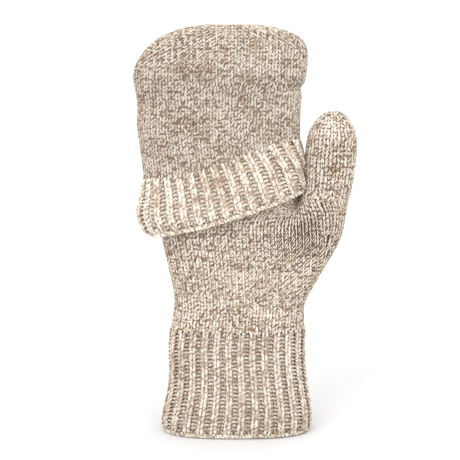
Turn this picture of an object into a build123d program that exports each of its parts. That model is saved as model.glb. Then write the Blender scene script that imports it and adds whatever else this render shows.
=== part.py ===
"""A knitted wool mitten with a flip-top cap, for the right hand, standing on its wrist cuff.

Each knitted section is a hollow shell one fabric thick. The palm faces -Y, the thumb is on the +X
side, and the fingers point up +Z. The origin is the middle of the wrist opening, on the surface
that the cuff stands on. The cap hinges along the seam that joins it to the back of the knuckles.
Sizes are in millimetres.
"""

import os
from itertools import pairwise
from math import copysign, cos, hypot, pi, radians, sin

from build123d import *

# ---- driving dimensions ------------------------------------------------------------------

WALL = 2.8  # thickness of the knitted fabric
COURSE = 2.8  # height of one row of stitches
FULLNESS = 2.6  # power of the superelliptic sections: 2 is an ellipse, more is squarer
OUTLINE_POINTS = 24  # points that carry each section's spline
STATION_STEP = 8.0  # distance along the fabric between the sections of a loft
CLOSING = 12.0  # height over which a closed top's lining comes down

CAST_ON_TOP = 1.5 * COURSE  # first rows of the cuff
CUFF_TOP = 71.0  # where the rib ends and the plain knitting of the hand starts
FINGER_ROOT = 165.0  # height of the finger openings above the cuff's edge
WEB_THICKNESS = WALL

# Each station is (height, left edge, right edge, half of the thickness).
HAND_STATIONS = [
    (0.0, -49.0, 48.6, 23.0),
    (7.0, -49.6, 50.0, 23.4),
    (16.0, -47.8, 49.6, 22.8),
    (28.0, -45.2, 47.6, 21.4),
    (42.0, -44.0, 45.4, 20.0),
    (56.0, -44.6, 44.6, 19.2),
    (72.0, -43.2, 44.8, 19.0),
    (90.0, -41.0, 44.4, 19.0),
    (110.0, -44.4, 42.8, 18.8),
    (130.0, -48.8, 40.8, 18.0),
    (148.0, -50.6, 39.2, 17.4),
    (FINGER_ROOT, -49.6, 38.0, 17.0),
]

# The thumb leaves the palm side of the hand in a widening gusset.
THUMB_MIDDLE = -2.0  # its place in the thickness of the hand
GUSSET_TOP = 159.0
THUMB_SLEEVE_FOOT = 169.0
THUMB_TIP_FOOT = 194.0
THUMB_TOP = 214.5
THUMB_STATIONS = [
    (78.0, 14.0, 38.0, 11.0),
    (92.0, 18.0, 46.4, 13.4),
    (106.0, 25.0, 54.2, 15.0),
    (120.0, 33.0, 62.4, 15.6),
    (132.0, 36.6, 68.6, 15.5),
    (144.0, 37.6, 71.4, 15.4),
    (152.0, 40.0, 72.4, 15.3),
    (GUSSET_TOP, 43.4, 73.8, 15.2),
    (THUMB_SLEEVE_FOOT, 45.0, 75.8, 15.2),
    (179.0, 45.3, 77.1, 15.3),
    (188.0, 45.2, 78.0, 15.4),
    (THUMB_TIP_FOOT, 45.6, 78.2, 15.0),
    (202.0, 47.8, 76.6, 13.2),
    (208.5, 51.6, 73.8, 9.8),
    (212.5, 56.2, 69.8, 6.0),
    (THUMB_TOP, 60.6, 66.0, 2.4),
]

# Half-finger sleeves: name, middle, width, thickness.
FINGERS = [
    ("little", -38.4, 19.0, 20.6),
    ("ring", -18.2, 20.6, 23.0),
    ("middle", 3.0, 21.2, 23.6),
    ("index", 23.4, 18.8, 21.4),
]
FINGER_MIDDLE = 1.0  # their place in the thickness of the hand
FINGER_TOP = 186.0
FINGER_EDGE = 1.1 * COURSE  # height of the bound-off edge at the top of each sleeve
FINGER_TAPER = 0.95
EDGE_BEAD = 0.3  # how far a bound-off edge stands out from its fabric

# The cap: a pocket over the fingers that widens at its ribbed mouth.
CAP_MIDDLE = -0.6
CAP_STATIONS = [
    (122.0, -48.5, 41.2, 21.6),
    (132.0, -53.8, 42.0, 21.8),
    (141.0, -60.4, 42.6, 22.0),
    (150.0, -63.2, 43.0, 22.0),
    (160.0, -61.4, 43.2, 21.7),
    (170.0, -60.8, 43.4, 21.4),
    (181.0, -61.4, 43.2, 20.8),
    (193.0, -63.0, 41.4, 20.0),
    (206.0, -64.6, 41.0, 19.6),
    (218.0, -64.2, 41.6, 19.8),
    (228.0, -65.2, 42.6, 20.0),
    (238.0, -66.2, 43.8, 19.4),
    (247.0, -63.8, 44.6, 17.4),
    (254.5, -58.6, 45.2, 14.6),
    (260.5, -52.0, 42.6, 11.4),
    (265.2, -42.4, 34.6, 8.0),
    (268.4, -30.6, 23.0, 5.0),
    (270.0, -17.0, 10.0, 2.4),
]
CROWN_FOOT = 228.0  # above this the cap narrows to its top
FOLD_TOP = 174.2  # the fabric bends between the seam and here
SEAM_TOP = 164.5
SEAM_FOOT = 162.5
STRIP_LEFT = -42.0
STRIP_RIGHT = 28.0
STRIP_FRONT = 12.0  # the fold is cut from the back of the cap, behind this
MOUTH_BACK = 4.0  # the ribbed mouth runs round the palm side as far back as this
# The mouth hangs lower on the little finger's side.
MOUTH_TILT = 15.5
MOUTH_EDGE_Z = 149.0  # height of the mouth's edge over the origin
WELT_TOP_Z = 186.0
CROWN_SEAM_WIDTH = 44.0  # the linked closing seam runs inside the top of the cap

# ---- helpers -----------------------------------------------------------------------------


def superellipse(left, right, half_depth, middle):
    """Points round a closed outline: |x/a|^p + |y/b|^p = 1, about the middle of the section."""
    centre, a, b = (left + right) / 2, (right - left) / 2, half_depth
    points = []
    for k in range(OUTLINE_POINTS):
        c = cos(2 * pi * k / OUTLINE_POINTS)
        s = sin(2 * pi * k / OUTLINE_POINTS)
        points.append(
            (
                centre + a * copysign(abs(c) ** (2 / FULLNESS), c),
                middle + b * copysign(abs(s) ** (2 / FULLNESS), s),
            )
        )
    return points


def section(height, left, right, half_depth, middle=0.0):
    """One horizontal section of a knitted tube, as a filled outline."""
    with BuildSketch(Plane.XY.offset(height)) as outline:
        with BuildLine():
            Spline(*superellipse(left, right, half_depth, middle), periodic=True)
        make_face()
    return outline.sketch


def evenly(stations, step=STATION_STEP):
    """The same profile in even steps along the fabric, on a smooth curve through the stations."""
    arc = [0.0]
    for a, b in pairwise(stations):
        arc.append(arc[-1] + max(hypot(b[0] - a[0], b[k] - a[k]) for k in (1, 2, 3)))
    last = len(stations) - 1
    slopes = []
    for i in range(len(stations)):
        i0, i1 = max(i - 1, 0), min(i + 1, last)
        run = arc[i1] - arc[i0]
        slopes.append([(q - p) / run for p, q in zip(stations[i0], stations[i1])])
    count = max(round(arc[-1] / step), 2)
    result = []
    for n in range(count + 1):
        s = arc[-1] * n / count
        i = max(k for k in range(last) if arc[k] <= s + STATION_STEP / 1e6)
        run = arc[i + 1] - arc[i]
        t = (s - arc[i]) / run
        weights = (
            (1 + 2 * t) * (1 - t) ** 2,
            t * (1 - t) ** 2 * run,
            t * t * (3 - 2 * t),
            t * t * (t - 1) * run,
        )
        columns = zip(stations[i], slopes[i], stations[i + 1], slopes[i + 1])
        result.append(tuple(sum(w * c for w, c in zip(weights, four)) for four in columns))
    return result


def tube(stations, middle=0.0):
    """A filled body through the stations."""
    with BuildPart() as body:
        loft([section(*station, middle=middle) for station in stations])
    return body.part


def lined(stations, closed_from=None):
    """The stations of a tube's hollow, one fabric thickness inside the tube.

    Above the height that the tube closes from, the hollow drops as well, until it is a thickness
    below the tube. Its foot is a little lower than the tube's, so that it cuts cleanly.
    """
    inner = []
    for height, left, right, half_depth in stations:
        if half_depth < 1.5 * WALL:
            break
        closing = 0.0 if closed_from is None else (height - closed_from) / CLOSING
        drop = WALL * min(max(closing, 0.0), 1.0)
        inner.append((height - drop, left + WALL, right - WALL, half_depth - WALL))
    foot, *first = inner[0]
    return [(foot - 1.0, *first), *inner[1:]]


def between(low, high):
    """A slab wider than the mitten from one height to another, to cut sections with."""
    with BuildPart() as slab:
        with Locations((0, 0, low)):
            Box(300, 200, high - low, align=(Align.CENTER, Align.CENTER, Align.MIN))
    return slab.part


def finish(built, name):
    """Names a finished piece, writes it, and says how large it is."""
    built.part.label = name
    export_step(built.part, f"parts/{name}.step")
    size = built.part.bounding_box().size
    print(f"{name}: {size.X:.1f} x {size.Y:.1f} x {size.Z:.1f} mm")


os.makedirs("parts", exist_ok=True)

# ---- the hand: one knitted tube from the cuff's edge to the finger openings ------------------

hand_stations = evenly(HAND_STATIONS)
thumb_stations = evenly(THUMB_STATIONS)
hand_outside = tube(hand_stations)
thumb_outside = tube(thumb_stations, middle=THUMB_MIDDLE)
hand_inside = tube(lined(hand_stations))
thumb_inside = tube(lined(thumb_stations, closed_from=THUMB_TIP_FOOT), middle=THUMB_MIDDLE)
gusset_zone = between(0.0, GUSSET_TOP)

with BuildPart() as thumb_shell:
    add(thumb_outside)
    add(thumb_inside, mode=Mode.SUBTRACT)

with BuildPart() as hand_shell:
    add(thumb_outside)
    add(gusset_zone, mode=Mode.INTERSECT)
    add(hand_outside)
    add(hand_inside, mode=Mode.SUBTRACT)
    add(thumb_inside, mode=Mode.SUBTRACT)

with BuildPart() as cast_on_edge:
    add(hand_shell.part)
    add(between(0.0, CAST_ON_TOP), mode=Mode.INTERSECT)
finish(cast_on_edge, "cast_on_edge")

with BuildPart() as wrist_cuff:
    add(hand_shell.part)
    add(between(CAST_ON_TOP, CUFF_TOP), mode=Mode.INTERSECT)
finish(wrist_cuff, "wrist_cuff")

with BuildPart() as hand_body:
    add(hand_shell.part)
    add(between(CUFF_TOP, FINGER_ROOT - WEB_THICKNESS), mode=Mode.INTERSECT)
finish(hand_body, "hand_body")


# ---- half-finger sleeves, and the webs of fabric between them --------------------------------


def finger_stations(middle, width, thickness):
    """The stations of one finger sleeve, from its root to its top."""
    foot, top = 0.5, FINGER_TAPER / 2
    return [
        (FINGER_ROOT, middle - width * foot, middle + width * foot, thickness * foot),
        (FINGER_TOP, middle - width * top, middle + width * top, thickness * top),
    ]


def finger_bore(middle, width, thickness):
    """The hollow of one sleeve. It runs past both its ends, so that it cuts right through."""
    ends = finger_stations(middle, width, thickness)
    heights = FINGER_ROOT - 2 * WALL, FINGER_TOP + WALL
    return tube(
        [
            (height, left + WALL, right - WALL, half_depth - WALL)
            for height, (_, left, right, half_depth) in zip(heights, ends)
        ],
        middle=FINGER_MIDDLE,
    )


with BuildPart() as finger_webs:
    add(hand_outside)
    add(between(FINGER_ROOT - WEB_THICKNESS, FINGER_ROOT), mode=Mode.INTERSECT)
    for _, middle, width, thickness in FINGERS:
        add(finger_bore(middle, width, thickness), mode=Mode.SUBTRACT)
finish(finger_webs, "finger_webs")

for name, middle, width, thickness in FINGERS:
    stations = finger_stations(middle, width, thickness)
    bore = finger_bore(middle, width, thickness)
    left, right, half_depth = stations[-1][1:]
    bead = (left - EDGE_BEAD, right + EDGE_BEAD, half_depth + EDGE_BEAD)

    with BuildPart() as sleeve:
        add(tube(stations, middle=FINGER_MIDDLE))
        add(bore, mode=Mode.SUBTRACT)
        add(between(FINGER_ROOT, FINGER_TOP - FINGER_EDGE), mode=Mode.INTERSECT)
    finish(sleeve, f"{name}_finger_sleeve")

    with BuildPart() as edge:
        add(
            tube(
                [(FINGER_TOP - FINGER_EDGE, *bead), (FINGER_TOP, *bead)],
                middle=FINGER_MIDDLE,
            )
        )
        add(bore, mode=Mode.SUBTRACT)
    finish(edge, f"{name}_finger_edge")

# ---- the thumb -------------------------------------------------------------------------------

for name, low, high in [
    ("thumb_root", GUSSET_TOP, THUMB_SLEEVE_FOOT),
    ("thumb_sleeve", THUMB_SLEEVE_FOOT, THUMB_TIP_FOOT),
    ("thumb_tip", THUMB_TIP_FOOT, THUMB_TOP),
]:
    with BuildPart() as thumb_piece:
        add(thumb_shell.part)
        add(between(low, high), mode=Mode.INTERSECT)
    finish(thumb_piece, name)

# ---- the cap ---------------------------------------------------------------------------------

cap_stations = evenly(CAP_STATIONS)
cap_outside = tube(cap_stations, middle=CAP_MIDDLE)
cap_lining = lined(cap_stations, closed_from=CROWN_FOOT)
cap_inside = tube(cap_lining, middle=CAP_MIDDLE)

with BuildPart() as cap_shell:
    add(cap_outside)
    add(cap_inside, mode=Mode.SUBTRACT)


def tilted_plane(height, tilt):
    """A plane that passes over the origin at this height, and rises towards the thumb."""
    return Plane(
        origin=(0, 0, height),
        z_dir=(-sin(radians(tilt)), 0, cos(radians(tilt))),
    )


def block(x, y, z):
    """A box between the given limits, each a (low, high) pair."""
    with BuildPart() as solid:
        with Locations((x[0], y[0], z[0])):
            Box(x[1] - x[0], y[1] - y[0], z[1] - z[0], align=(Align.MIN,) * 3)
    return solid.part


palm_side = block((-120, 120), (-80, MOUTH_BACK), (100, 300))
back_side = block((-120, 120), (MOUTH_BACK, 80), (100, 300))
welt_top = tilted_plane(WELT_TOP_Z, MOUTH_TILT)
mouth_edge = tilted_plane(MOUTH_EDGE_Z, MOUTH_TILT)
bound_off_top = tilted_plane(MOUTH_EDGE_Z + FINGER_EDGE, MOUTH_TILT)

with BuildPart() as cap_crown:
    add(cap_shell.part)
    add(between(CROWN_FOOT, 300), mode=Mode.INTERSECT)
finish(cap_crown, "cap_crown")

with BuildPart() as cap_palm_panel:
    add(cap_shell.part)
    add(palm_side, mode=Mode.INTERSECT)
    split(bisect_by=welt_top, keep=Keep.TOP)
    split(bisect_by=Plane.XY.offset(CROWN_FOOT), keep=Keep.BOTTOM)
finish(cap_palm_panel, "cap_palm_panel")

with BuildPart() as cap_back_panel:
    add(cap_shell.part)
    add(back_side, mode=Mode.INTERSECT)
    add(between(FOLD_TOP, CROWN_FOOT), mode=Mode.INTERSECT)
finish(cap_back_panel, "cap_back_panel")

with BuildPart() as cap_welt:
    add(cap_shell.part)
    add(palm_side, mode=Mode.INTERSECT)
    split(bisect_by=welt_top, keep=Keep.BOTTOM)
    split(bisect_by=bound_off_top, keep=Keep.TOP)
finish(cap_welt, "cap_welt")

with BuildPart() as cap_mouth_edge:
    add(cap_shell.part)
    add(palm_side, mode=Mode.INTERSECT)
    split(bisect_by=bound_off_top, keep=Keep.BOTTOM)
    split(bisect_by=mouth_edge, keep=Keep.TOP)
finish(cap_mouth_edge, "cap_mouth_edge")

strip_side = (STRIP_LEFT, STRIP_RIGHT), (STRIP_FRONT, 80)
with BuildPart() as cap_hinge_fold:
    add(cap_shell.part)
    add(block(*strip_side, (SEAM_TOP, FOLD_TOP)), mode=Mode.INTERSECT)
finish(cap_hinge_fold, "cap_hinge_fold")

# The whip-stitched seam fills the step between the cap's fabric and the back of the hand.
with BuildPart() as cap_seam:
    add(cap_outside)
    add(block(*strip_side, (SEAM_FOOT, SEAM_TOP)), mode=Mode.INTERSECT)
    add(hand_outside, mode=Mode.SUBTRACT)
finish(cap_seam, "cap_seam")

# The closing seam is a chain of linked stitches inside the top of the cap.
with BuildPart() as crown_seam:
    with BuildSketch(Plane.XZ.offset(-CAP_MIDDLE - COURSE / 2)):
        with Locations(((STRIP_LEFT + STRIP_RIGHT) / 2, cap_lining[-1][0] - COURSE / 2)):
            SlotOverall(CROWN_SEAM_WIDTH, COURSE)
    extrude(amount=COURSE)
finish(crown_seam, "crown_seam")
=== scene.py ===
# %% [markdown]
# # A knitted flip-top mitten
#
# This notebook builds the looks of one right-hand convertible mitten. The mitten is knitted from
# ragg wool, a yarn of cream and brown strands twisted together. It has a ribbed wrist cuff, a hand
# with a thumb, half-finger sleeves, and a cap with a ribbed mouth that closes over the fingers.
#
# At arm's length a knitted surface is plain relief: columns of V-shaped loops, with dark gaps where
# the loops open. Painting that on a smooth shell looks flat from the side and at the edges. So this
# notebook lays the yarn itself. Every row of stitches is one long strand, swept as a tube along a
# curve that loops in and out of the fabric.

import bpy
import numpy as np
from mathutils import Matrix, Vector


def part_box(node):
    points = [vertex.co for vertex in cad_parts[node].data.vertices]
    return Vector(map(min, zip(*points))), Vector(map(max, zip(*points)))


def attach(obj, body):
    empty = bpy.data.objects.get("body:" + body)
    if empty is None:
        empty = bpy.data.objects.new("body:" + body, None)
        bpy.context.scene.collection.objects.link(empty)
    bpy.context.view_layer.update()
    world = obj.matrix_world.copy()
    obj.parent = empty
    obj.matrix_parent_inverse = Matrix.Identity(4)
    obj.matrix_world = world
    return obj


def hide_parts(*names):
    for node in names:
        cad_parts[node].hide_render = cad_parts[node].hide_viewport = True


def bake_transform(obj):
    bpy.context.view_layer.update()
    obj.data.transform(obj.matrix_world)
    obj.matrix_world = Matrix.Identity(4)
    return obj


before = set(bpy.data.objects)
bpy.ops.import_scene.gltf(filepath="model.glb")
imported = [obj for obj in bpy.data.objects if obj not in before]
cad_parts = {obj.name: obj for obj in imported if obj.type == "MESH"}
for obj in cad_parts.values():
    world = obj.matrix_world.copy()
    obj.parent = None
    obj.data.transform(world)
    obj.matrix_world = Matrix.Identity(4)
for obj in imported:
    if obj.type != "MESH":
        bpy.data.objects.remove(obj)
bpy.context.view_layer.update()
MM = 0.001

# %% [markdown]
# ## The gauge
#
# A knitter describes a fabric by its gauge: how wide one column of stitches (a wale) is, and how
# tall one row (a course) is. Everything below is counted in those two sizes.

# %% The gauge
WALE = 4.45 * MM  # width of one column of stitches
COURSE = 2.5 * MM  # height of one row
YARN_RADIUS = 0.84 * MM
LOOP_RISE = 1.1 * COURSE  # how far a loop reaches above and below its own row
LOOP_SWING = 1.5  # how far the legs lean, in wales over 2 pi
LOOP_DEPTH = 0.9 * MM  # how far the legs stand in front of the heads
SAMPLES = 14  # points along the yarn for each stitch
SIDES = 7  # points round the yarn
TWIST = 4.5 * MM  # length in which the yarn's plies turn once
PLIES = 3
SECTION_POWER = 2.6  # 2 would make each section an ellipse, and more makes it squarer

# %% [markdown]
# ## Where the fabric lies
#
# The CAD model holds each section of the mitten as a plain shell. Its outline is measured at many
# heights, by cutting the shell's edges with a level plane, so the knitting always fits the frame.


# %% Measure the shells
def cuts(names, heights):
    """Left, right, front and back of the named shells at each height.

    Every mesh edge that crosses a height gives one point, a straight mix of its two ends. The
    extremes of those points are the outline. A height that no edge crosses gives nan.
    """
    ends = []
    for name in names:
        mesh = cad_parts[name].data
        co = np.empty(len(mesh.vertices) * 3)
        mesh.vertices.foreach_get("co", co)
        pairs = np.empty(len(mesh.edges) * 2, dtype=np.int64)
        mesh.edges.foreach_get("vertices", pairs)
        ends.append(co.reshape(-1, 3)[pairs.reshape(-1, 2)])
    ends = np.concatenate(ends)
    low, high = ends[:, 0], ends[:, 1]
    result = np.full((len(heights), 4), np.nan)
    for row, height in enumerate(heights):
        crossing = (low[:, 2] - height) * (high[:, 2] - height) < 0
        if crossing.any():
            p, q = low[crossing], high[crossing]
            t = ((height - p[:, 2]) / (q[:, 2] - p[:, 2]))[:, None]
            points = p + t * (q - p)
            result[row] = (
                points[:, 0].min(),
                points[:, 0].max(),
                points[:, 1].min(),
                points[:, 1].max(),
            )
    return result


def filled(heights, values):
    """The same column of values, with each nan taken from the measured heights beside it."""
    known = ~np.isnan(values)
    return np.interp(heights, heights[known], values[known])


# %% [markdown]
# ## Surfaces
#
# A tube of fabric is a grid of points: rows going up, and columns going round at even distances
# along the fabric. Each level section is a superellipse, a shape between an ellipse and a
# rectangle. The columns start at the little finger's side and go round by the palm.


# %% The surface grid
class Surface:
    """A grid of points and outward normals over a piece of fabric.

    points has a row for each level and a column for each place round the tube. rise is the
    distance between rows along the fabric. A closed surface's last column joins its first.
    """

    def __init__(self, points, rise, closed=True):
        self.points, self.rise, self.closed = points, rise, closed
        self.renew()

    def renew(self):
        """Works the normals out again, from the directions of the rows and columns."""
        p = self.points
        if self.closed:
            across = np.roll(p, -1, axis=1) - np.roll(p, 1, axis=1)
        else:
            across = np.gradient(p, axis=1)
        up = np.gradient(p, axis=0)
        normal = np.cross(across, up)
        self.normals = normal / np.linalg.norm(normal, axis=2, keepdims=True)

    def at(self, u, height):
        """Points and normals at u, from 0 to 1 round the tube, and height along the fabric."""
        rows, columns = self.points.shape[:2]
        r = np.clip(height / self.rise, 0, rows - 1.001)
        if self.closed:
            c = (u % 1.0) * columns
        else:
            c = np.clip(u, 0, 1) * (columns - 1.001)
        r0, c0 = np.floor(r).astype(int), np.floor(c).astype(int)
        fr, fc = (r - r0)[..., None], (c - c0)[..., None]
        c0 = c0 % columns
        c1 = (c0 + 1) % columns
        mix = []
        for grid in (self.points, self.normals):
            low = grid[r0, c0] * (1 - fc) + grid[r0, c1] * fc
            high = grid[r0 + 1, c0] * (1 - fc) + grid[r0 + 1, c1] * fc
            mix.append(low * (1 - fr) + high * fr)
        point, normal = mix
        return point, normal / np.linalg.norm(normal, axis=-1, keepdims=True)

    def push(self, centre, size, depth):
        """Pushes the fabric in or out by depth, in a soft spot of the given size round centre."""
        away = (self.points - np.asarray(centre)) / np.asarray(size)
        weight = np.exp(-(away**2).sum(axis=2))
        self.points = self.points + self.normals * (depth * weight)[..., None]
        self.renew()


def tube(heights, outline, columns=480, inset=0.0):
    """A closed surface through level sections.

    heights and outline (left, right, front, back) are arrays over the rows. The rows are laid out
    again at even distances along the fabric, measured where the outline moves most.
    """
    half = np.stack(
        [
            (outline[:, 1] - outline[:, 0]) / 2 - inset,
            (outline[:, 3] - outline[:, 2]) / 2 - inset,
        ],
        axis=1,
    )
    middle = np.stack(
        [(outline[:, 0] + outline[:, 1]) / 2, (outline[:, 2] + outline[:, 3]) / 2], axis=1
    )
    step = np.hypot(np.diff(heights), np.abs(np.diff(half[:, 1])))
    run = np.concatenate([[0], np.cumsum(step)])
    rows = max(int(round(run[-1] / (0.5 * COURSE))), 2)
    even = np.linspace(0, run[-1], rows + 1)
    z = np.interp(even, run, heights)
    half = np.stack([np.interp(even, run, half[:, k]) for k in (0, 1)], axis=1)
    middle = np.stack([np.interp(even, run, middle[:, k]) for k in (0, 1)], axis=1)
    turn = np.linspace(0, 2 * np.pi, 4 * columns + 1)
    power = 2 / SECTION_POWER
    shape_x = -np.sign(np.cos(turn)) * np.abs(np.cos(turn)) ** power
    shape_y = -np.sign(np.sin(turn)) * np.abs(np.sin(turn)) ** power
    points = np.empty((rows + 1, columns, 3))
    for k in range(rows + 1):
        x = middle[k, 0] + half[k, 0] * shape_x
        y = middle[k, 1] + half[k, 1] * shape_y
        along = np.concatenate([[0], np.cumsum(np.hypot(np.diff(x), np.diff(y)))])
        wanted = np.linspace(0, along[-1], columns, endpoint=False)
        points[k, :, 0] = np.interp(wanted, along, x)
        points[k, :, 1] = np.interp(wanted, along, y)
        points[k, :, 2] = z[k]
    return Surface(points, even[1])


# %% [markdown]
# Where the thumb leaves the hand, the section is two rounded shapes side by side, so its outline is
# measured in full: the shells' triangles are cut by a level plane, and the foremost and rearmost
# cuts are kept at each x. The groove between the thumb and the palm is shallow low down, where one
# fabric covers both, and opens towards the crotch.


# %% Measure a full outline
SMOOTHING_PASSES = 14


def sliced(names, heights, bridge, web, columns=480, inset=0.0):
    """A closed surface through the true sections of the named shells.

    bridge is (left, right, low, high): between those two x the fabric runs straight across up to
    the height low, and follows the shells from the height high. web is where the fabric closes
    the space between two shells: its front at the heights low and high, and its back.
    """
    corners = []
    for name in names:
        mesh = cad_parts[name].data
        mesh.calc_loop_triangles()
        co = np.empty(len(mesh.vertices) * 3)
        mesh.vertices.foreach_get("co", co)
        index = np.empty(len(mesh.loop_triangles) * 3, dtype=np.int64)
        mesh.loop_triangles.foreach_get("vertices", index)
        corners.append(co.reshape(-1, 3)[index.reshape(-1, 3)])
    corners = np.concatenate(corners)
    points = np.empty((len(heights), columns, 3))
    for row, height in enumerate(heights):
        z = corners[:, :, 2] - height
        ends = []
        for a, b in ((0, 1), (1, 2), (2, 0)):
            t = z[:, a] / np.where(z[:, a] == z[:, b], 1, z[:, a] - z[:, b])
            cut = corners[:, a] + t[:, None] * (corners[:, b] - corners[:, a])
            cut[z[:, a] * z[:, b] >= 0] = np.nan
            ends.append(cut)
        ends = np.stack(ends, axis=1)[(z.min(axis=1) < 0) & (z.max(axis=1) > 0)]
        low_x, high_x = np.nanmin(ends[:, :, 0], axis=1), np.nanmax(ends[:, :, 0], axis=1)
        first = np.nanargmin(ends[:, :, 0], axis=1)
        last = np.nanargmax(ends[:, :, 0], axis=1)
        pick = np.arange(len(ends))
        low_y, high_y = ends[pick, first, 1], ends[pick, last, 1]
        left, right = low_x.min(), high_x.max()
        x = (left + right) / 2 - (right - left) / 2 * np.cos(np.linspace(0, np.pi, 200)) * 0.9999
        t = (x[:, None] - low_x) / np.maximum(high_x - low_x, MM / 1000)
        y = np.where((t >= 0) & (t <= 1), low_y + t * (high_y - low_y), np.nan)
        covered = ~np.isnan(y).all(axis=1)
        near = np.interp(height, bridge[2:], web[:2])
        front, back = np.full(len(x), near), np.full(len(x), web[2])
        front[covered] = np.nanmin(y[covered], axis=1)
        back[covered] = np.nanmax(y[covered], axis=1)
        weight = np.clip((bridge[3] - height) / (bridge[3] - bridge[2]), 0, 1)
        within = (x > bridge[0]) & (x < bridge[1])
        for line, sign in ((front, -1), (back, 1)):
            across = np.interp(x, bridge[:2], np.interp(bridge[:2], x, line))
            filled_in = np.where(sign * across > sign * line, across, line)
            line[within] = (line + weight * (filled_in - line))[within]
        round_x = np.concatenate([x, x[::-1]])
        round_y = np.concatenate([front + inset, back[::-1] - inset])
        middle = (left + right) / 2
        round_x = middle + (round_x - middle) * (1 - 2 * inset / (right - left))
        round_x, round_y = np.append(round_x, round_x[0]), np.append(round_y, round_y[0])
        along = np.concatenate([[0], np.cumsum(np.hypot(np.diff(round_x), np.diff(round_y)))])
        wanted = np.linspace(0, along[-1], columns, endpoint=False)
        points[row, :, 0] = np.interp(wanted, along, round_x)
        points[row, :, 1] = np.interp(wanted, along, round_y)
        points[row, :, 2] = height
    for _ in range(SMOOTHING_PASSES):
        points = (np.roll(points, 1, axis=1) + 2 * points + np.roll(points, -1, axis=1)) / 4
        points[1:-1] = (points[:-2] + 2 * points[1:-1] + points[2:]) / 4
    return Surface(points, heights[1] - heights[0])


# %% [markdown]
# ## A row of loops
#
# One course of plain knitting follows a closed formula. As the phase t goes through one wale, from
# 0 to 2 pi, the yarn moves along the row by t + a sin 2t, up and down by h cos t, and in and out by
# d cos 2t. The sine makes the legs lean together at the foot of each loop and apart at its head,
# which is the V that shows on the outside. The depth puts the legs in front and the heads behind,
# so each row's legs pass over the heads of the row below.
#
# In a 1 by 1 rib every second wale is turned round: its legs are behind. So the depth changes sign
# from wale to wale, the plain wales stand out as ribs, and the turned ones sink between them.


# %% The course formula
def courses(surface, levels, count, rib=None, rise=LOOP_RISE):
    """The centre line of every course: points, outward normals, and how deep each point is sunk.

    count gives how many wales have passed at u (0 to 1) for each level, as an array. It must
    grow by a whole number over a closed surface. rib is how far the ribs stand out. A point is
    sunk by 0 at the front of the fabric and by 1 at its back.
    """
    most = int(np.ceil(np.max(count(np.array([1.0]), levels) - count(np.array([0.0]), levels))))
    samples = SAMPLES * most
    ends = 0 if surface.closed else 1
    u = np.arange(samples + ends) / samples
    wales = count(u, levels)
    phase = 2 * np.pi * wales
    total = (wales[:, -1] - wales[:, 0])[:, None]
    swing = LOOP_SWING * np.sin(2 * phase) / (2 * np.pi * total)
    height = levels[:, None] + rise * np.cos(phase)
    depth = -LOOP_DEPTH * np.cos(2 * phase)
    if rib is None:
        place = u[None, :] + swing
    else:
        side = np.tanh(3.0 * np.cos(np.pi * wales))
        depth = depth * side + rib * side
        place = u[None, :] + swing * (0.85 + 0.15 * side)
    point, normal = surface.at(place, height)
    sunk = 0.5 - depth / (2 * (LOOP_DEPTH + (rib or 0)))
    return point + normal * depth[..., None], normal, sunk


def even_count(number):
    """A count with the same number of wales in every row."""
    return lambda u, levels: np.broadcast_to(u * number, (len(levels), len(u)))


# %% [markdown]
# ## Yarn
#
# Real yarn is spun fibres twisted into plies, and the plies twisted together. Here it is a tube
# swept along the course's centre line. The tube carries its own UV map: u is the length of yarn
# used so far, in metres, and v goes once round it. A knitter uses one ball, so the length runs on
# from row to row, and the colours of the plies never line up between neighbouring rows.


# %% Sweep the yarn
def mesh_piece(name, verts, quads, uv, sunk, material):
    """A mesh object from arrays: corners, four-sided faces, and a UV pair for each face corner.

    sunk is kept with each corner, for the material to paint as shade.
    """
    mesh = bpy.data.meshes.new(name)
    mesh.vertices.add(len(verts))
    mesh.vertices.foreach_set("co", verts.astype(np.float32).ravel())
    mesh.loops.add(quads.size)
    mesh.loops.foreach_set("vertex_index", quads.astype(np.int32).ravel())
    mesh.polygons.add(len(quads))
    mesh.polygons.foreach_set("loop_start", np.arange(0, quads.size, 4, dtype=np.int32))
    mesh.update(calc_edges=True)
    mesh.validate()
    layer = mesh.uv_layers.new(name="yarn")
    layer.data.foreach_set("uv", uv.astype(np.float32).ravel())
    mesh.polygons.foreach_set("use_smooth", np.ones(len(quads), dtype=bool))
    mesh.attributes.new("sunk", "FLOAT", "POINT").data.foreach_set("value", sunk)
    mesh.materials.append(material)
    ob = bpy.data.objects.new(name, mesh)
    bpy.context.collection.objects.link(ob)
    return ob


ball = 0.0  # metres of yarn used so far


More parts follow.
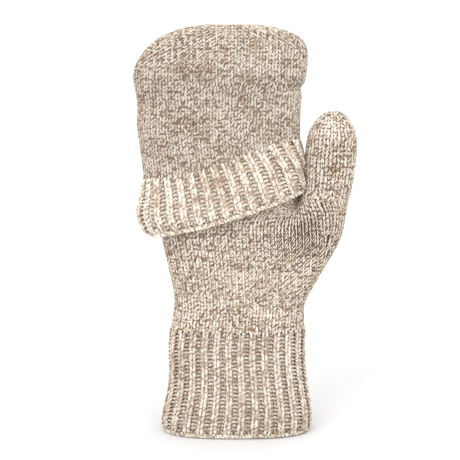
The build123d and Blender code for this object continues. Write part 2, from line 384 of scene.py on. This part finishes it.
def yarn(name, point, normal, sunk, material, closed=True, keep=None, radius=YARN_RADIUS):
    """Sweeps yarn along centre lines, an array of (strand, sample, xyz), as one mesh.

    At each sample the ring of the tube lies across the line's direction, with its first corner
    towards the fabric's outward normal. keep is a mask over (strand, sample) of what is shown. An
    end of the yarn is drawn to a point.
    """
    global ball
    strands, samples = point.shape[:2]
    if closed:
        ahead = np.roll(point, -1, axis=1) - np.roll(point, 1, axis=1)
        step = np.linalg.norm(np.roll(point, -1, axis=1) - point, axis=2)
    else:
        ahead = np.gradient(point, axis=1)
        step = np.linalg.norm(np.diff(point, axis=1), axis=2)
    ahead /= np.linalg.norm(ahead, axis=2, keepdims=True)
    side = np.cross(ahead, normal)
    side /= np.linalg.norm(side, axis=2, keepdims=True)
    out = np.cross(side, ahead)
    angle = 2 * np.pi * np.arange(SIDES) / SIDES
    ring = (
        out[:, :, None, :] * np.cos(angle)[:, None] + side[:, :, None, :] * np.sin(angle)[:, None]
    )
    shown = np.ones((strands, samples), dtype=bool) if keep is None else keep
    inner = np.roll(shown, 1, axis=1) & np.roll(shown, -1, axis=1)
    if not closed:
        inner[:, [0, -1]] = False
    thick = np.where(inner, radius, YARN_RADIUS / 50)[:, :, None, None]
    verts = (point[:, :, None, :] + thick * ring).reshape(-1, 3)

    spans = samples if closed else samples - 1
    length = np.concatenate([np.zeros((strands, 1)), np.cumsum(step, axis=1)], axis=1)
    start = ball + np.concatenate([[0], np.cumsum(length[:, -1])[:-1]])
    ball = float(start[-1] + length[-1, -1])
    length = length + start[:, None]

    strand = np.arange(strands)[:, None, None]
    here = np.arange(spans)[None, :, None]
    corner = np.arange(SIDES)[None, None, :]
    there, after = (here + 1) % samples, (corner + 1) % SIDES

    def index(s, i, k):
        return (s * samples + i) * SIDES + k

    quads = np.stack(
        [
            np.broadcast_to(index(strand, a, b), (strands, spans, SIDES))
            for a, b in ((here, corner), (there, corner), (there, after), (here, after))
        ],
        axis=-1,
    )
    u0 = np.broadcast_to(length[:, :spans, None], quads.shape[:3])
    u1 = np.broadcast_to(length[:, 1 : spans + 1, None], quads.shape[:3])
    v0 = np.broadcast_to(corner / SIDES, quads.shape[:3])
    v1 = v0 + 1 / SIDES
    uv = np.stack(
        [np.stack(pair, axis=-1) for pair in ((u0, v0), (u1, v0), (u1, v1), (u0, v1))], axis=-2
    )
    span_shown = (shown & np.roll(shown, -1, axis=1))[:, :spans]
    quads, uv = quads[span_shown].reshape(-1, 4), uv[span_shown].reshape(-1, 2)
    used, quads = np.unique(quads, return_inverse=True)
    depth = np.repeat(np.broadcast_to(sunk, point.shape[:2]).ravel(), SIDES)[used]
    quads, depth = quads.reshape(-1, 4), depth.astype(np.float32)
    ob = mesh_piece(name, verts[used], quads, uv, depth, material)
    print(f"{name}: {2 * len(ob.data.polygons)} triangles")
    return ob


# %% [markdown]
# ## A small language for shader graphs
#
# Blender's materials are graphs of nodes. Written out one node at a time, a formula takes a page.
# This class wraps a socket so that ordinary arithmetic on it adds the math nodes.


# %% Shader helper
class Signal:
    """A number on its way through a node tree, with arithmetic that adds nodes."""

    def __init__(self, tree, socket):
        self.tree, self.socket = tree, socket

    def math(self, operation, *values, clamp=False):
        """A Math node of this operation over the given values, sockets or numbers."""
        node = self.tree.nodes.new("ShaderNodeMath")
        node.operation, node.use_clamp = operation, clamp
        for k, value in enumerate(values):
            if isinstance(value, Signal):
                self.tree.links.new(value.socket, node.inputs[k])
            else:
                node.inputs[k].default_value = value
        return Signal(self.tree, node.outputs[0])

    def __add__(self, other):
        return self.math("ADD", self, other)

    def __sub__(self, other):
        return self.math("SUBTRACT", self, other)

    def __rsub__(self, other):
        return self.math("SUBTRACT", other, self)

    def __mul__(self, other):
        return self.math("MULTIPLY", self, other)

    def __truediv__(self, other):
        return self.math("DIVIDE", self, other)

    __radd__, __rmul__ = __add__, __mul__

    def fract(self):
        """The part after the whole number."""
        return self.math("FRACT", self)

    def floor(self):
        """The whole number below."""
        return self.math("FLOOR", self)

    def size(self):
        """The value without its sign."""
        return self.math("ABSOLUTE", self)

    def ramp(self, low, high):
        """Rises smoothly from 0 at low to 1 at high."""
        t = self.math("MULTIPLY", self - low, 1 / (high - low), clamp=True)
        return t * t * (3 - 2 * t)


class Graph:
    """A material's node tree, with one method that adds any node."""

    def __init__(self, name):
        self.material = bpy.data.materials.new(name)
        self.material.use_nodes = True
        self.tree = self.material.node_tree
        self.tree.nodes.clear()

    def node(self, kind, settings=(), inputs=()):
        """Adds a node, sets its settings, and sets or links its inputs by name or number."""
        node = self.tree.nodes.new("ShaderNode" + kind)
        for key, value in dict(settings).items():
            setattr(node, key, value)
        for key, value in dict(inputs).items():
            if isinstance(value, Signal):
                self.tree.links.new(value.socket, node.inputs[key])
            else:
                node.inputs[key].default_value = value
        return lambda output=0: Signal(self.tree, node.outputs[output])

    def mix(self, factor, first, second):
        """A mix of two colours, each a tuple or a signal."""
        return self.node(
            "Mix", {"data_type": "RGBA"}, {"Factor": factor, 6: first, 7: second}
        )(2)


# %% [markdown]
# ## Ragg wool
#
# Ragg is the old name for a yarn whose plies have different colours. Here, of three plies, one is
# brown and two are cream. The tube's UV map says how far along the yarn a point is and how far
# round it, so the ply under the point is a matter of arithmetic: turn the angle back by the twist,
# and see which third of the circle it falls in. The plies were dyed as loose wool, so each one
# wanders in shade along its length. Fine fibres run along the plies, and grooves lie between them.
# Real plies don't turn quite evenly, so a slow noise lets the turn drift, and the plies never form
# stripes across the rows.
#
# Painted shade darkens the yarn in three places: the grooves between its plies, its inner face, and
# the parts of a loop that are sunk behind others, which the attribute sunk gives. The ribs and the
# mouth are a little lighter than the hand and the cap a little darker, each a copy of the wool with
# its own brightness.


# %% The wool material
CREAM = (0.68, 0.61, 0.52, 1)
OAT = (0.39, 0.315, 0.235, 1)
BROWN = (0.14, 0.079, 0.047, 1)


def ragg_wool(name, shadow, pale, brown=0.8):
    """Plied wool yarn: colour, grooves and fibres from the yarn's own UV map.

    shadow is how strong the painted shade is, on the yarn's inner face and on the parts of a loop
    sunk behind others. pale is the brightness of this copy of the wool, and brown is how strong its
    dark ply is.
    """
    graph = Graph(name)
    cream, oat = (tuple(pale * c for c in tone[:3]) + (1,) for tone in (CREAM, OAT))
    place = graph.node("SeparateXYZ", {}, {0: graph.node("UVMap", {"uv_map": "yarn"})()})
    length, around = place(0), place(1)
    drift = graph.node("CombineXYZ", {}, {0: length * 110})()
    wander = graph.node("TexNoise", {}, {"Vector": drift, "Scale": 1.0, "Detail": 2.0})()
    turn = (around - length / TWIST + wander * 5.0) * PLIES
    ply = turn.math("MODULO", turn.floor() + 3000000, PLIES)
    groove = (turn.fract() - 0.5).size() * 2

    along = graph.node("CombineXYZ", {}, {0: length * 300, 1: ply * 7.3})()
    shade = graph.node("TexNoise", {}, {"Vector": along, "Scale": 1.0, "Detail": 2.0})()
    fine = graph.node("CombineXYZ", {}, {0: length * 900, 1: turn * 5.0})()
    fibre = graph.node("TexNoise", {}, {"Vector": fine, "Scale": 1.0, "Detail": 3.0})()
    spot = graph.node("TexCoord", {})(3)
    patch = graph.node("TexNoise", {}, {"Vector": spot, "Scale": 55.0, "Detail": 2.0})()

    is_brown = (1 - ply.ramp(0.3, 0.7)) * shade.ramp(0.4, 0.5)
    is_oat = (shade + (patch - 0.5) * 0.4).ramp(0.42, 0.66)
    outer = 1 - ((around + 0.5).fract() - 0.5).size() * 2
    colour = graph.mix(is_oat, cream, oat)
    colour = graph.mix(is_brown * brown, colour, BROWN)
    # Painted shade in the grooves between the plies, and darker streaks along the fibres.
    dark = groove.ramp(0.72, 1.0) * 0.3 + (1 - fibre.ramp(0.3, 0.62)) * 0.2
    # Painted shade on the yarn's inner face and on the parts of a loop sunk behind others.
    sunk = graph.node("Attribute", {"attribute_name": "sunk"})(2)
    dark = dark + (1 - outer.ramp(0.42, 0.88)) * shadow + sunk.ramp(0.35, 0.95) * (0.9 * shadow)
    colour = graph.mix(dark, colour, BROWN)
    height = fibre * 0.35 - groove.ramp(0.4, 1.0)
    bump = graph.node("Bump", {}, {"Strength": 0.5, "Distance": 0.16 * MM, "Height": height})()
    wool = graph.node(
        "BsdfPrincipled",
        {},
        {
            "Base Color": colour,
            "Roughness": 0.92,
            "Specular IOR Level": 0.2,
            "Sheen Weight": 0.25,
            "Sheen Roughness": 0.5,
            "Normal": bump,
        },
    )()
    graph.node("OutputMaterial", {}, {0: wool})
    return graph.material


wool = ragg_wool("ragg_wool", 0.95, 1.12, 0.88)
cap_wool = ragg_wool("ragg_wool_cap", 0.9, 0.91, 0.85)
rib_wool = ragg_wool("ragg_wool_rib", 0.48, 1.2, 0.6)
welt_wool = ragg_wool("ragg_wool_welt", 0.4, 1.28, 0.55)

# %% [markdown]
# ## The hand
#
# From the wrist up, the hand is one tube. The cuff is a 1 by 1 rib, which has the most stretch.
# Above it the fabric is plain. The thumb grows out of the palm in a gusset: every few rows the
# knitter adds a stitch at each side of a wedge, and its wales fan out towards the thumb.


# %% Knit the hand
def plain_count(surface, wales, crown=None):
    """Wales counted from the middle of the palm, with whole wales dropped where a crown narrows.

    Below the height crown, every row has the same number of wales. Above it the wales keep their
    width and run straight up, so the row loses wales at its two sides. The part of a wale that is
    left over is hidden in the last three wales beside each side.
    """
    p = surface.points
    girth = np.linalg.norm(np.roll(p, -1, axis=1) - p, axis=2).sum(axis=1)
    centre = (p[:, :, 0].max(axis=1) + p[:, :, 0].min(axis=1)) / 2
    heights = surface.rise * np.arange(len(p))

    def count(u, levels):
        around = np.interp(levels, heights, girth)
        width, shift = around / wales, np.zeros(len(levels))
        if crown is not None:
            above = levels > crown
            width = np.where(above, np.interp(crown, heights, girth) / wales, width)
            drift = np.interp(crown, heights, centre) - np.interp(levels, heights, centre)
            shift = np.where(above, drift, shift)
        half, width, shift = ((around / 2)[:, None], width[:, None], shift[:, None])
        s = 2 * half * np.minimum(u, 1 - u)
        away = (s - half / 2 - shift) / width
        left, right = (half / 2 + shift) / width, (half / 2 - shift) / width
        spare = np.where(away < 0, left - np.round(left), right - np.round(right))
        edge = np.clip(np.minimum(s, half - s) / (3 * width), 0, 1)
        edge = 1 - edge * edge * (3 - 2 * edge)
        near = np.round(left) + away - np.sign(away) * spare * edge
        return np.where(u < 0.5, near, 2 * (np.round(left) + np.round(right)) - near)

    return count


def gusset_count(surface, wales, own_edge):
    """Wales of the hand, the same number in each row, and then those of the gusset beyond.

    own_edge is where the hand's own side would be with no thumb. The fabric beyond it is the
    gusset, whose wales run along its outer side. New ones start at the line between the two.
    """
    p = surface.points
    girth = np.linalg.norm(np.roll(p, -1, axis=1) - p, axis=2).sum(axis=1)
    extra = np.maximum(p[:, :, 0].max(axis=1) - own_edge, 0)
    heights = surface.rise * np.arange(len(p))

    def count(u, levels):
        half = np.interp(levels, heights, girth)[:, None] / 2
        more = np.interp(levels, heights, extra)[:, None]
        s = 2 * half * np.minimum(u, 1 - u)
        whole = np.round(more / WALE)
        spare = more / WALE - whole
        beyond = s - (half - more)
        fade = np.clip(beyond / np.maximum(np.minimum(2.5 * WALE, more), MM / 10), 0, 1)
        fade = 1 - fade * fade * (3 - 2 * fade)
        palm = s * wales / (half - more)
        thumb = wales + whole - (half - s) / WALE + spare * fade
        near = np.where(beyond < 0, palm, thumb)
        return np.where(u < 0.5, near, 2 * (wales + whole) - near)

    return count


HAND_NODES = ["cast_on_edge", "wrist_cuff", "hand_body", "finger_webs"]
THUMB_NODES = ["thumb_root", "thumb_sleeve", "thumb_tip"]
PROUD = 0.5 * MM  # how far the yarn stands out of the CAD's shell
INSET = YARN_RADIUS + LOOP_DEPTH - PROUD
CUFF_WALES, PALM_WALES, KNUCKLE_WALES = 54, 24, 45
RIB_PROUD = 1.0 * MM  # how far a rib stands out, and a turned wale sinks

hand_low, hand_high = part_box("cast_on_edge")[0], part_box("finger_webs")[1]
cuff_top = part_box("wrist_cuff")[1].z
thumb_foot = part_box("thumb_root")[0].z
crotch = thumb_foot + 4 * MM

z = np.linspace(hand_low.z + MM / 10, crotch + 1.5 * MM, 132)
bridge = np.array([26, 57, 138, 158]) * MM
web = np.array([-12, 4.5, 9]) * MM
lower_hand = sliced(HAND_NODES + THUMB_NODES, z, bridge, web, inset=INSET)
own_edge = float(lower_hand.points[z < cuff_top, :, 0].max(axis=1)[-1])

cuff_rows = np.arange(hand_low.z + 4.2 * MM, cuff_top, COURSE)
half = len(cuff_rows) // 2
for name, rows in (("cuff_rib_low", cuff_rows[:half]), ("cuff_rib_high", cuff_rows[half:])):
    line = courses(lower_hand, rows, even_count(CUFF_WALES), rib=RIB_PROUD)
    piece = yarn(name, *line, rib_wool)
    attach(piece, "hand")
    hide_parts("wrist_cuff")


def open_stitches(point):
    """The yarn's radius at each point: thinner where the gusset pulls the stitches open."""
    away = (point - np.array([43, -15, 138]) * MM) / (np.array([21, 25, 19]) * MM)
    return YARN_RADIUS * (1 - 0.5 * np.exp(-(away**2).sum(axis=-1)))


palm_rows = np.arange(cuff_rows[-1] + COURSE, crotch - COURSE / 2, COURSE)
for k, rows in enumerate(np.array_split(palm_rows, 3)):
    line = courses(lower_hand, rows, gusset_count(lower_hand, PALM_WALES, own_edge))
    piece = yarn(f"hand_knit_{k}", *line, wool, radius=open_stitches(line[0]))
    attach(piece, "hand")
    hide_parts("hand_body")


def run_on(z, names, end):
    """The outline of the named shells, and below the height end its straight continuation."""
    known = cuts(names, np.maximum(z, end))
    low, high = cuts(names, np.array([end, end + 4 * MM]))
    return known + np.minimum(z - end, 0)[:, None] * ((high - low) / (4 * MM))


z = np.linspace(thumb_foot - 8 * MM, hand_high.z - 0.3 * MM, 30)
upper_hand = tube(z, run_on(z, HAND_NODES, thumb_foot + 0.5 * MM), inset=INSET + 0.3 * MM)
upper_rows = np.arange(crotch - 2 * COURSE, hand_high.z - 2 * MM, COURSE) - z[0]
knuckle_line = courses(upper_hand, upper_rows, even_count(KNUCKLE_WALES))
knuckles = yarn("hand_knuckles", *knuckle_line, wool)
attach(knuckles, "hand")
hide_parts("hand_body")

# %% [markdown]
# ## Edges
#
# A knitted edge is finished with a chain of linked loops, which looks like a thick two-strand cord
# laid along it. The cast-on edge at the wrist and the bound-off edges of the fingers and of the
# cap's mouth are all made this way. Two strands wind round each other, one turn for each wale.


# %% Cords along the edges
def cord(name, path, outward, turns, material, closed=True, wind=0.75 * MM, radius=0.95 * MM):
    """Two strands of yarn wound round a path, given as points and outward directions."""
    if closed:
        ahead = np.roll(path, -1, axis=0) - np.roll(path, 1, axis=0)
    else:
        ahead = np.gradient(path, axis=0)
    ahead /= np.linalg.norm(ahead, axis=1, keepdims=True)
    side = np.cross(ahead, outward)
    side /= np.linalg.norm(side, axis=1, keepdims=True)
    count = len(path) if closed else len(path) - 1
    turn = 2 * np.pi * turns * np.arange(len(path)) / count
    angle = turn + np.array([[0], [np.pi]])
    sway = np.cos(angle)[..., None] * outward + np.sin(angle)[..., None] * side
    normals = np.broadcast_to(outward, sway.shape)
    # How far behind the other strand each point lies, which the wool paints as shade.
    sunk = 0.5 - np.cos(angle) / 2
    return yarn(name, path + wind * sway, normals, sunk, material, closed=closed, radius=radius)


def ring_of(surface, height, turns):
    """The points and outward directions once round a closed surface at one height."""
    u = np.arange(12 * turns) / (12 * turns)
    return surface.at(u, np.full(len(u), height))


CAST_ON_TURNS = 50
path, outward = ring_of(lower_hand, 1.8 * MM, CAST_ON_TURNS)
cast_on = cord("cast_on_cord", path, outward, CAST_ON_TURNS, rib_wool)
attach(cast_on, "hand")
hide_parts("cast_on_edge")

# %% [markdown]
# ## The thumb
#
# The thumb is a narrow tube knitted on the stitches of the gusset, with a few more picked up in the
# crotch. At the tip the last stitches are gathered on one strand and drawn in. It is one piece.

# %% Knit the thumb
THUMB_WALES = 20
thumb_low, thumb_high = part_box("thumb_root")[0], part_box("thumb_tip")[1]
z = np.linspace(thumb_low.z - 10 * MM, thumb_high.z - 0.4 * MM, 120)
outline = run_on(z, THUMB_NODES, thumb_low.z + 0.5 * MM)
thumb_surface = tube(z, outline, inset=INSET)
for centre, size, depth in (
    ((64, -15, 193), (11, 14, 2.4), -1.8),  # a crease where the tip is drawn in
    ((62, -15, 200), (14, 14, 5), 1.0),
    ((55, -15, 180), (9, 14, 8), 0.7),
):
    thumb_surface.push(np.array(centre) * MM, np.array(size) * MM, depth * MM)
top = thumb_surface.rise * (len(thumb_surface.points) - 1)
thumb_rows = np.append(np.arange(crotch - z[0] - COURSE, top - 2 * MM, COURSE), top - 0.6 * MM)
tip_from = top - 14 * MM
thumb_count = plain_count(thumb_surface, THUMB_WALES, crown=tip_from)
thumb_line = courses(thumb_surface, thumb_rows, thumb_count)
thumb = yarn("thumb_knit", *thumb_line, wool, radius=open_stitches(thumb_line[0]))
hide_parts(*THUMB_NODES)
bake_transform(thumb)

# %% [markdown]
# ## The cap
#
# The cap is wider than the hand, so it slips over the fingers. Its plain fabric is knitted in
# rounds. At the top, whole wales are dropped at the two sides, so the wales in the middle stay
# upright and the outline rounds over. The palm side ends in a ribbed band, the mouth, that runs at
# a slant. The back ends at the fold, where the cap is sewn to the knuckles.

# %% Knit the cap
CAP_WALES = 60
CAP_NODES = ["cap_crown", "cap_palm_panel", "cap_back_panel", "cap_welt", "cap_mouth_edge"]
mouth_low, mouth_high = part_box("cap_mouth_edge")
crown_low, crown_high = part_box("cap_crown")
back_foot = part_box("cap_back_panel")[0].z
fold_low, fold_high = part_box("cap_hinge_fold")

z = np.linspace(mouth_low.z + 1 * MM, crown_high.z - 0.3 * MM, 260)
outline = cuts(CAP_NODES, z)
reliable = z > mouth_high.z
outline[~reliable, 1] = np.nan
outline[z < back_foot + 1 * MM, 3] = np.nan
outline[z < mouth_low.z + 8 * MM, 2] = np.nan
outline = np.stack([filled(z, outline[:, k]) for k in range(4)], axis=1)
cap_surface = tube(z, outline, inset=INSET)
for centre, size, depth in (
    ((-10, -20, 243), (42, 30, 9), 2.4),  # the crown puffs out
    ((-8, -20, 222), (36, 30, 10), -3.0),  # and the fabric falls back under it
    ((39, -10, 230.5), (11, 30, 2.6), -2.4),  # a crease at the thumb's side
    ((35, -10, 243), (12, 30, 8), 1.2),
    ((-55, -12, 236), (9, 30, 9), 1.0),
):
    cap_surface.push(np.array(centre) * MM, np.array(size) * MM, depth * MM)
cap_top = cap_surface.rise * (len(cap_surface.points) - 1)
cap_z0 = z[0]

crown_from = crown_low.z - cap_z0
cap_rows = np.arange(cap_top - 0.6 * MM, back_foot - cap_z0 - 14 * MM, -COURSE)[::-1]
cap_count = plain_count(cap_surface, CAP_WALES, crown=crown_from)
MOUTH_SAG = 15 * MM


def mouth_height(x):
    """Height of the mouth's edge at x: it rises to the thumb's side and sags in the middle."""
    t = (x - mouth_low.x) / (mouth_high.x - mouth_low.x)
    low = mouth_low.z + 1.5 * MM
    return low + t * (mouth_high.z - low) - MOUTH_SAG * t * (1 - t)


WELT_HEIGHT = 36 * MM
side_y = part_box("cap_welt")[1].y


def cap_part(name, rows, keep_rule, *nodes):
    """One piece of the cap's plain fabric: the rows given, where keep_rule shows them."""
    point, normal, sunk = courses(cap_surface, rows, cap_count)
    keep = keep_rule(point[..., 0], point[..., 1], point[..., 2])
    piece = yarn(name, point, normal, sunk, cap_wool, keep=keep)
    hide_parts(*nodes)
    return piece


crown_rows = cap_rows[cap_rows > crown_from]
body_rows = cap_rows[cap_rows <= crown_from]
back_from = back_foot - cap_z0 + LOOP_RISE + YARN_RADIUS
back_rows = body_rows[body_rows > back_from]
fold_rows = body_rows[body_rows <= back_from]
crown_knit = [
    cap_part(f"cap_crown_knit_{k}", rows, lambda x, y, z: z > 0, "cap_crown")
    for k, rows in enumerate(np.array_split(crown_rows, 2))
]


def over_the_welt(x, y, z):
    """The palm side above the ribbed band, and the two sides, where the band's ends lie over it."""
    above = z > mouth_height(x + 8 * MM) + WELT_HEIGHT - 4 * MM
    at_side = (x > mouth_high.x - 5 * MM) | (x < mouth_low.x + 5 * MM)
    return (y < side_y) & (above | (at_side & (z > back_foot - 4 * MM)))


palm = cap_part("cap_palm_knit", body_rows, over_the_welt, "cap_palm_panel")
back = cap_part("cap_back_knit", back_rows, lambda x, y, z: y > side_y - 1 * MM, "cap_back_panel")
fold = cap_part(
    "cap_fold_knit",
    fold_rows,
    lambda x, y, z: (y > 0) & (x > fold_low.x) & (x < fold_high.x),
    "cap_hinge_fold",
)
corner_rows = fold_rows[fold_rows > fold_low.z + LOOP_RISE - cap_z0]
corners = cap_part(
    "cap_corner_knit",
    corner_rows,
    lambda x, y, z: (y > side_y - 1 * MM) & ((x < fold_low.x) | (x > fold_high.x)),
    "cap_back_panel",
)
for piece in (*crown_knit, palm, back, corners):
    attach(piece, "cap")
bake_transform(fold)

# %% [markdown]
# ## The ribbed mouth
#
# The cap ends on the palm side in a 1 by 1 rib, like the cuff's. The band is a surface of its own,
# laid over the cap and standing off it at the edge. Its ribs run square to the slanting edge, so
# each column of the grid leans by the slope of the edge below it. It stops just past the two sides.

# %% The ribbed mouth
p = cap_surface.points
cap_girth = float(np.linalg.norm(np.roll(p, -1, axis=1) - p, axis=2).sum(axis=1)[40])
WELT_START, WELT_END = -0.045, 0.5 + 0.045  # round the cap: 0 and 0.5 are its two sides
STEADY_FROM = 0.42  # past here the ribs keep one lean
MOUTH_WALES, MOUTH_TURNS = 34, 32
MOUTH_PROUD = 1.9 * MM  # how far the edge stands off the cap; the top of the band lies on it
MOUTH_YARN = 0.98 * MM
welt_u = np.linspace(WELT_START, WELT_END, 260)
edge_point, _ = cap_surface.at(welt_u, np.full(len(welt_u), 12 * MM))
edge_z = mouth_height(np.clip(edge_point[:, 0], mouth_low.x, mouth_high.x))
edge_z = np.convolve(np.pad(edge_z, 12, mode="edge"), np.ones(25) / 25, mode="valid")
slope = np.gradient(edge_z) / (np.gradient(welt_u) * cap_girth)
slope = np.where(welt_u > STEADY_FROM, np.interp(STEADY_FROM, welt_u, slope), slope)
lean = np.arctan(slope)
up = np.linspace(0, WELT_HEIGHT, 27)
grid_u = welt_u[None, :] - up[:, None] * np.sin(lean) / cap_girth
grid_z = edge_z[None, :] - cap_z0 + up[:, None] * np.cos(lean)
welt_point, welt_normal = cap_surface.at(grid_u, grid_z)
proud = (MOUTH_PROUD * np.cos(np.pi * up / WELT_HEIGHT / 2))[:, None, None]
welt_surface = Surface(welt_point + welt_normal * proud, up[1], closed=False)
welt_rows = np.arange(4.5 * MM, WELT_HEIGHT - 1 * MM, COURSE)
welt_line = courses(welt_surface, welt_rows, even_count(MOUTH_WALES), rib=RIB_PROUD)
welt = yarn("mouth_rib", *welt_line, welt_wool, closed=False, radius=MOUTH_YARN)
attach(welt, "cap")
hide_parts("cap_welt")

u = np.linspace(0, 1, 12 * MOUTH_TURNS + 1)
path, outward = welt_surface.at(u, np.full(len(u), 1.2 * MM))
mouth = cord("mouth_cord", path, outward, MOUTH_TURNS, welt_wool, closed=False)
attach(mouth, "cap")
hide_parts("cap_mouth_edge")

# %% [markdown]
# ## The seams
#
# Two short seams hold the cap together: one sews its back to the knuckles, and one closes the last
# round at the top. Each shows as a cord of two strands, so both are made like the edges.

# %% Lay the seams
KNUCKLE_TURNS, CROWN_TURNS = 16, 10
u = np.linspace(0, 1, 12 * KNUCKLE_TURNS + 1)
seam_low, seam_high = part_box("cap_seam")
path = np.stack(
    [
        seam_low.x + (seam_high.x - seam_low.x) * u,
        np.full(len(u), seam_high.y - 2.7 * MM),
        np.full(len(u), seam_high.z - 0.9 * MM),
    ],
    axis=1,
)
outward = np.broadcast_to(np.array([0.0, 1.0, 0.0]), path.shape)
fine = {"closed": False, "wind": 0.55 * MM, "radius": 0.75 * MM}
seam = cord("knuckle_seam", path, outward, KNUCKLE_TURNS, wool, **fine)
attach(seam, "hand")
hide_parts("cap_seam")

rim = cap_surface.points[-1]
u = np.linspace(0, 1, 12 * CROWN_TURNS + 1)
path = np.stack(
    [
        rim[:, 0].min() + np.ptp(rim[:, 0]) * u,
        np.full(len(u), rim[:, 1].mean()),
        np.full(len(u), rim[:, 2].mean() - YARN_RADIUS / 2),
    ],
    axis=1,
)
print("closing seam over a gap of", np.ptp(rim[:, 1]), "by", np.ptp(rim[:, 0]))
wide = {"closed": False, "wind": 0.9 * MM}
seam = cord("crown_closing_seam", path, outward[: len(u)], CROWN_TURNS, cap_wool, **wide)
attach(seam, "cap")
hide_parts("crown_seam")

# %% [markdown]
# ## The half-finger sleeves
#
# Under the cap each finger has a short open sleeve, so the fingertips are bare when the cap is
# back. Each is a small tube of plain knitting with a bound-off edge.

# %% Knit the sleeves
SLEEVE_WALES = 14
for finger in ("little", "ring", "middle", "index"):
    nodes = [f"{finger}_finger_sleeve", f"{finger}_finger_edge"]
    low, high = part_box(nodes[0])[0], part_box(nodes[1])[1]
    z = np.linspace(low.z + 0.2 * MM, high.z - 0.2 * MM, 24)
    sleeve = tube(z, cuts(nodes, z), columns=200, inset=INSET)
    rows = np.arange(2.5 * MM, z[-1] - z[0] - 3.5 * MM, COURSE)
    piece = yarn(f"{finger}_sleeve_knit", *courses(sleeve, rows, even_count(SLEEVE_WALES)), wool)
    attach(piece, "hand")
    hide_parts(nodes[0])
    path, outward = ring_of(sleeve, z[-1] - z[0] - 1.4 * MM, SLEEVE_WALES)
    edge = cord(f"{finger}_sleeve_cord", path, outward, SLEEVE_WALES, wool)
    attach(edge, "hand")
    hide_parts(nodes[1])

# %% [markdown]
# ## The webs between the fingers
#
# The small pieces of fabric between the sleeves are deep in the grooves, where single loops can't
# be told apart. They keep the frame's own mesh and get a flecked wool of the same colours.


# %% The webs between the fingers
def plain_wool():
    """Knitted fabric seen from far off: short flecks of cream and brown, from a fine noise."""
    graph = Graph("plain_wool")
    spot = graph.node("TexCoord", {})(3)
    fleck = graph.node("TexNoise", {}, {"Vector": spot, "Scale": 900.0, "Detail": 3.0})()
    colour = graph.mix(fleck.ramp(0.4, 0.6), BROWN, CREAM)
    bump = graph.node("Bump", {}, {"Strength": 0.8, "Distance": 0.5 * MM, "Height": fleck})()
    inputs = {"Base Color": colour, "Roughness": 0.92, "Normal": bump}
    graph.node("OutputMaterial", {}, {0: graph.node("BsdfPrincipled", {}, inputs)()})
    return graph.material


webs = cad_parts["finger_webs"]
webs.data.materials.clear()
webs.data.materials.append(plain_wool())

# %% [markdown]
# ## The studio
#
# The mitten stands on a pale floor in soft light from all round, which a bright world gives. Three
# wide suns add a little shape: a key from the front left, one from above and one low in front. The
# floor is just bright enough to come out white, apart from the soft shadow at the mitten's foot.
# The lens is long and the camera is a little above the mitten.

# %% Floor, light and camera
bpy.context.scene.view_settings.view_transform = "Standard"
floor_graph = Graph("floor")
white = floor_graph.node(
    "BsdfPrincipled", {}, {"Base Color": (0.67, 0.67, 0.67, 1), "Roughness": 0.9}
)()
floor_graph.node("OutputMaterial", {}, {0: white})
bpy.ops.mesh.primitive_plane_add(size=12)
floor = bpy.context.object
floor.name = "floor"
floor.data.materials.append(floor_graph.material)

world = bpy.data.worlds.new("studio")
bpy.context.scene.world = world
world.use_nodes = True
background = world.node_tree.nodes["Background"].inputs
background["Color"].default_value = (1, 1, 1, 1)
background["Strength"].default_value = 1.12


def sun(name, source, strength):
    """A soft light from the direction of source, as wide as a large window."""
    light = bpy.data.lights.new(name, "SUN")
    light.energy, light.angle = strength, np.radians(35)
    ob = bpy.data.objects.new(name, light)
    ob.rotation_euler = Vector(source).to_track_quat("Z", "Y").to_euler()
    bpy.context.collection.objects.link(ob)


sun("key", (-0.5, -0.8, 0.7), 1.2)
sun("top", (0.1, -0.05, 1.0), 0.9)
sun("fill", (0.35, -1.0, 0.25), 1.0)

camera_data = bpy.data.cameras.new("camera")
camera_data.lens = 106.6
camera = bpy.data.objects.new("camera", camera_data)
bpy.context.collection.objects.link(camera)
target = Vector((-0.0043, 0, 0.1368))
elevation, distance = np.radians(10), 0.9
camera.location = target + distance * Vector((0, -np.cos(elevation), np.sin(elevation)))
camera.rotation_euler = (target - camera.location).to_track_quat("-Z", "Y").to_euler()
bpy.context.scene.camera = camera
